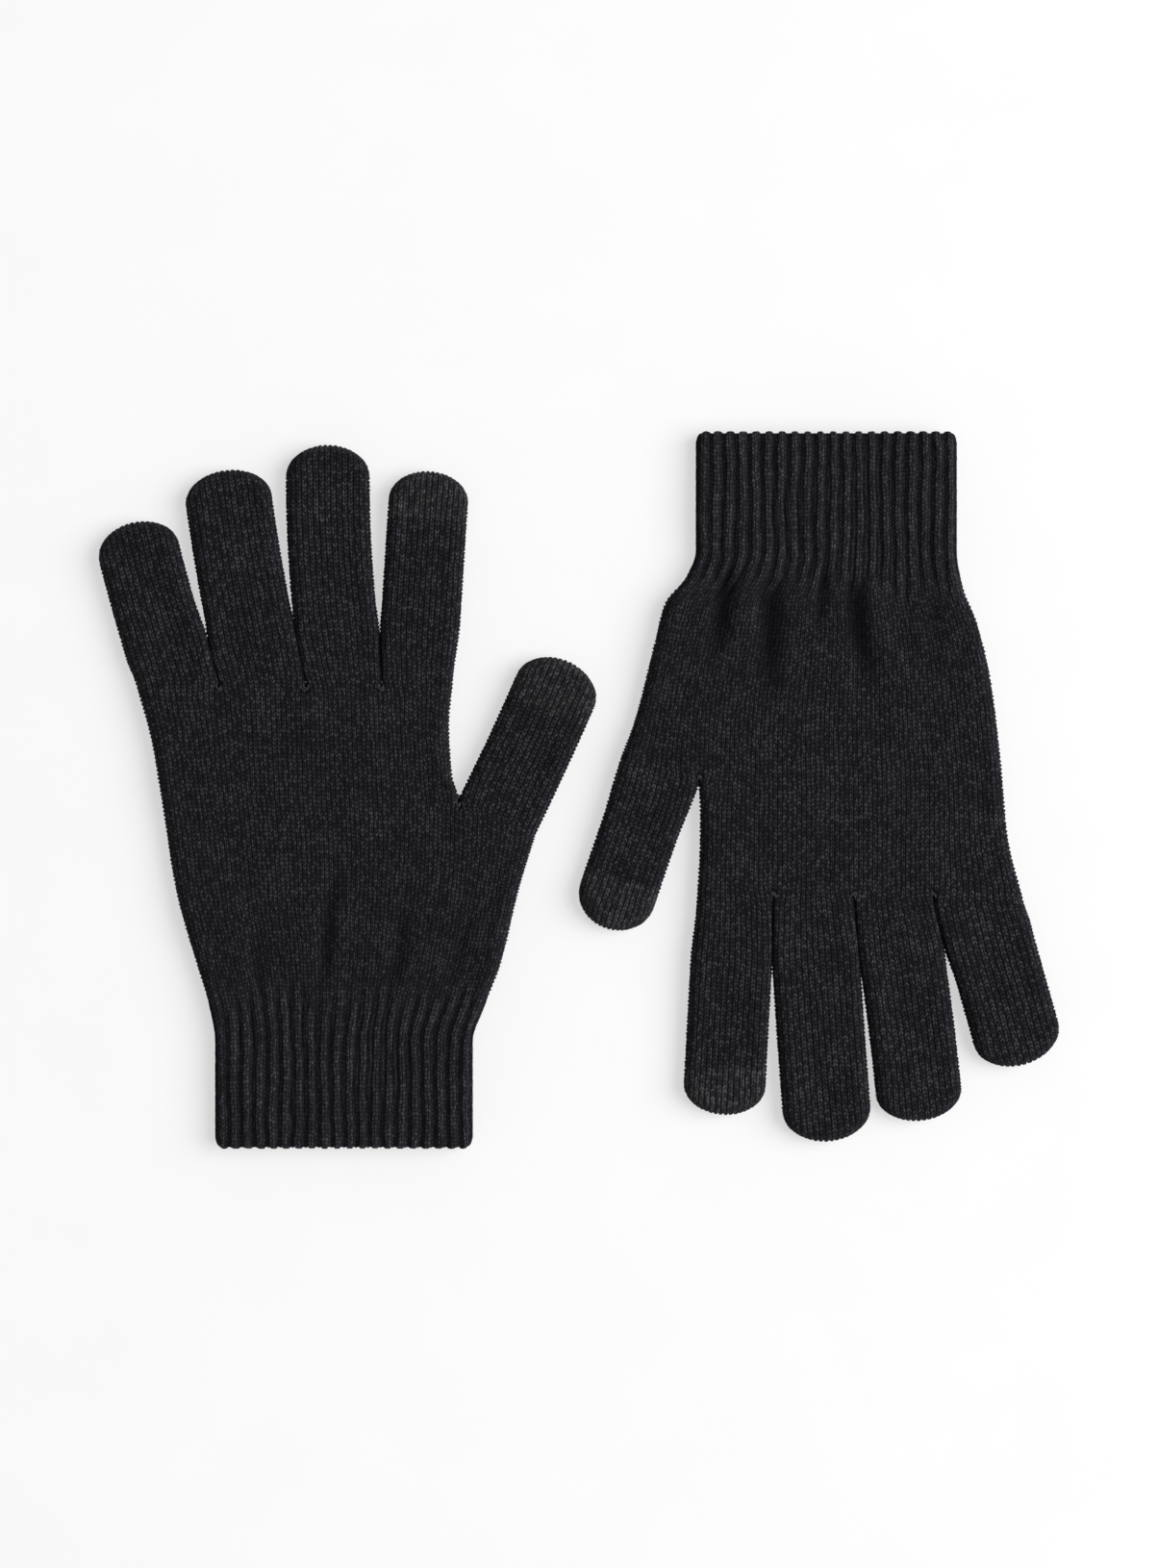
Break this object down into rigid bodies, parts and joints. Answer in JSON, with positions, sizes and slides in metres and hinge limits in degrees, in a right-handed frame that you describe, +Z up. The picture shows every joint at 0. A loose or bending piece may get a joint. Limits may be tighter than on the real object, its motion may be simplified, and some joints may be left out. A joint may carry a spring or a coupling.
{
  "type": "touchscreen gloves",
  "caption": "Pair of knitted five-finger gloves lying flat, with ribbed cuffs and conductive thumb and index fingertips.",
  "frame": {"origin": "centre of the flat pair's footprint, on the surface it lies on", "axes": "+X from the left glove to the right glove, +Y towards the left glove's fingertips, +Z up"},
  "size_m": [0.306, 0.2292, 0.0092],
  "materials": {
    "charcoal_knit": "matte fine jersey knit",
    "rib_knit": "matte ribbed knit",
    "conductive_knit": "heathered jersey knit with conductive yarn",
    "elastic_thread": "matte covered elastic"
  },
  "bodies": {
    "left_hand": {"left_palm_lower": "charcoal_knit", "left_palm_upper": "charcoal_knit", "left_crotch_stitches": "charcoal_knit"},
    "left_cuff": {"left_cuff_rib": "rib_knit", "left_cuff_welt": "rib_knit", "left_cuff_elastic": "elastic_thread"},
    "left_little_base": {"left_little_base": "charcoal_knit"},
    "left_little_end": {"left_little_end": "charcoal_knit"},
    "left_ring_base": {"left_ring_base": "charcoal_knit"},
    "left_ring_end": {"left_ring_end": "charcoal_knit"},
    "left_middle_base": {"left_middle_base": "charcoal_knit"},
    "left_middle_end": {"left_middle_end": "charcoal_knit"},
    "left_index_base": {"left_index_base": "charcoal_knit"},
    "left_index_end": {"left_index_end": "charcoal_knit", "left_index_touch_tip": "conductive_knit"},
    "left_thumb_base": {"left_thumb_base": "charcoal_knit"},
    "left_thumb_end": {"left_thumb_end": "charcoal_knit", "left_thumb_touch_tip": "conductive_knit"},
    "right_hand": {"right_palm_lower": "charcoal_knit", "right_palm_upper": "charcoal_knit", "right_crotch_stitches": "charcoal_knit"},
    "right_cuff": {"right_cuff_rib": "rib_knit", "right_cuff_welt": "rib_knit", "right_cuff_elastic": "elastic_thread"},
    "right_little_base": {"right_little_base": "charcoal_knit"},
    "right_little_end": {"right_little_end": "charcoal_knit"},
    "right_ring_base": {"right_ring_base": "charcoal_knit"},
    "right_ring_end": {"right_ring_end": "charcoal_knit"},
    "right_middle_base": {"right_middle_base": "charcoal_knit"},
    "right_middle_end": {"right_middle_end": "charcoal_knit"},
    "right_index_base": {"right_index_base": "charcoal_knit"},
    "right_index_end": {"right_index_end": "charcoal_knit", "right_index_touch_tip": "conductive_knit"},
    "right_thumb_base": {"right_thumb_base": "charcoal_knit"},
    "right_thumb_end": {"right_thumb_end": "charcoal_knit", "right_thumb_touch_tip": "conductive_knit"}
  },
  "joints": [
    {"name": "left_cuff_fold", "type": "hinge", "parent": "left_hand", "child": "left_cuff", "pos_m": [-0.0751, -0.0656, 0.0045], "axis": [-1, 0, 0], "range_deg": [0, 70]},
    {"name": "left_little_knuckle", "type": "hinge", "parent": "left_hand", "child": "left_little_base", "pos_m": [-0.13079, 0.0431, 0.004], "axis": [1, 0, 0], "range_deg": [0, 90]},
    {"name": "left_little_middle", "type": "hinge", "parent": "left_little_base", "child": "left_little_end", "pos_m": [-0.13724, 0.06557, 0.004], "axis": [1, 0, 0], "range_deg": [0, 90]},
    {"name": "left_ring_knuckle", "type": "hinge", "parent": "left_hand", "child": "left_ring_base", "pos_m": [-0.10257, 0.0431, 0.004], "axis": [1, 0, 0], "range_deg": [0, 90]},
    {"name": "left_ring_middle", "type": "hinge", "parent": "left_ring_base", "child": "left_ring_end", "pos_m": [-0.10744, 0.07187, 0.004], "axis": [1, 0, 0], "range_deg": [0, 90]},
    {"name": "left_middle_knuckle", "type": "hinge", "parent": "left_hand", "child": "left_middle_base", "pos_m": [-0.07586, 0.0431, 0.004], "axis": [1, 0, 0], "range_deg": [0, 90]},
    {"name": "left_middle_middle", "type": "hinge", "parent": "left_middle_base", "child": "left_middle_end", "pos_m": [-0.07866, 0.07515, 0.004], "axis": [1, 0, 0], "range_deg": [0, 90]},
    {"name": "left_index_knuckle", "type": "hinge", "parent": "left_hand", "child": "left_index_base", "pos_m": [-0.05095, 0.0431, 0.004], "axis": [1, 0, 0], "range_deg": [0, 90]},
    {"name": "left_index_middle", "type": "hinge", "parent": "left_index_base", "child": "left_index_end", "pos_m": [-0.04916, 0.07153, 0.004], "axis": [1, 0, 0], "range_deg": [0, 90]},
    {"name": "left_thumb_knuckle", "type": "hinge", "parent": "left_hand", "child": "left_thumb_base", "pos_m": [-0.02217, -0.00034, 0.004], "axis": [0.9033, -0.4289, 0], "range_deg": [0, 90]},
    {"name": "left_thumb_middle", "type": "hinge", "parent": "left_thumb_base", "child": "left_thumb_end", "pos_m": [-0.01237, 0.0203, 0.004], "axis": [0.9033, -0.4289, 0], "range_deg": [0, 90]},
    {"name": "right_cuff_fold", "type": "hinge", "parent": "right_hand", "child": "right_cuff", "pos_m": [0.0794, 0.0656, 0.0045], "axis": [1, 0, 0], "range_deg": [0, 70]},
    {"name": "right_little_knuckle", "type": "hinge", "parent": "right_hand", "child": "right_little_base", "pos_m": [0.13033, -0.0431, 0.004], "axis": [-1, 0, 0], "range_deg": [0, 90]},
    {"name": "right_little_middle", "type": "hinge", "parent": "right_little_base", "child": "right_little_end", "pos_m": [0.13652, -0.0662, 0.004], "axis": [-1, 0, 0], "range_deg": [0, 90]},
    {"name": "right_ring_knuckle", "type": "hinge", "parent": "right_hand", "child": "right_ring_base", "pos_m": [0.1018, -0.0431, 0.004], "axis": [-1, 0, 0], "range_deg": [0, 90]},
    {"name": "right_ring_middle", "type": "hinge", "parent": "right_ring_base", "child": "right_ring_end", "pos_m": [0.10561, -0.07326, 0.004], "axis": [-1, 0, 0], "range_deg": [0, 90]},
    {"name": "right_middle_knuckle", "type": "hinge", "parent": "right_hand", "child": "right_middle_base", "pos_m": [0.07536, -0.0431, 0.004], "axis": [-1, 0, 0], "range_deg": [0, 90]},
    {"name": "right_middle_middle", "type": "hinge", "parent": "right_middle_base", "child": "right_middle_end", "pos_m": [0.07707, -0.07586, 0.004], "axis": [-1, 0, 0], "range_deg": [0, 90]},
    {"name": "right_index_knuckle", "type": "hinge", "parent": "right_hand", "child": "right_index_base", "pos_m": [0.04935, -0.0431, 0.004], "axis": [-1, 0, 0], "range_deg": [0, 90]},
    {"name": "right_index_middle", "type": "hinge", "parent": "right_index_base", "child": "right_index_end", "pos_m": [0.04752, -0.07229, 0.004], "axis": [-1, 0, 0], "range_deg": [0, 90]},
    {"name": "right_thumb_knuckle", "type": "hinge", "parent": "right_hand", "child": "right_thumb_base", "pos_m": [0.02132, -0.00521, 0.004], "axis": [-0.9438, 0.3305, 0], "range_deg": [0, 90]},
    {"name": "right_thumb_middle", "type": "hinge", "parent": "right_thumb_base", "child": "right_thumb_end", "pos_m": [0.01441, -0.02495, 0.004], "axis": [-0.9438, 0.3305, 0], "range_deg": [0, 90]},
    {"name": "right_glove_lift", "type": "slide", "parent": "left_hand", "child": "right_hand", "axis": [0, 0, 1], "range_m": [0, 0.1]}
  ]
}
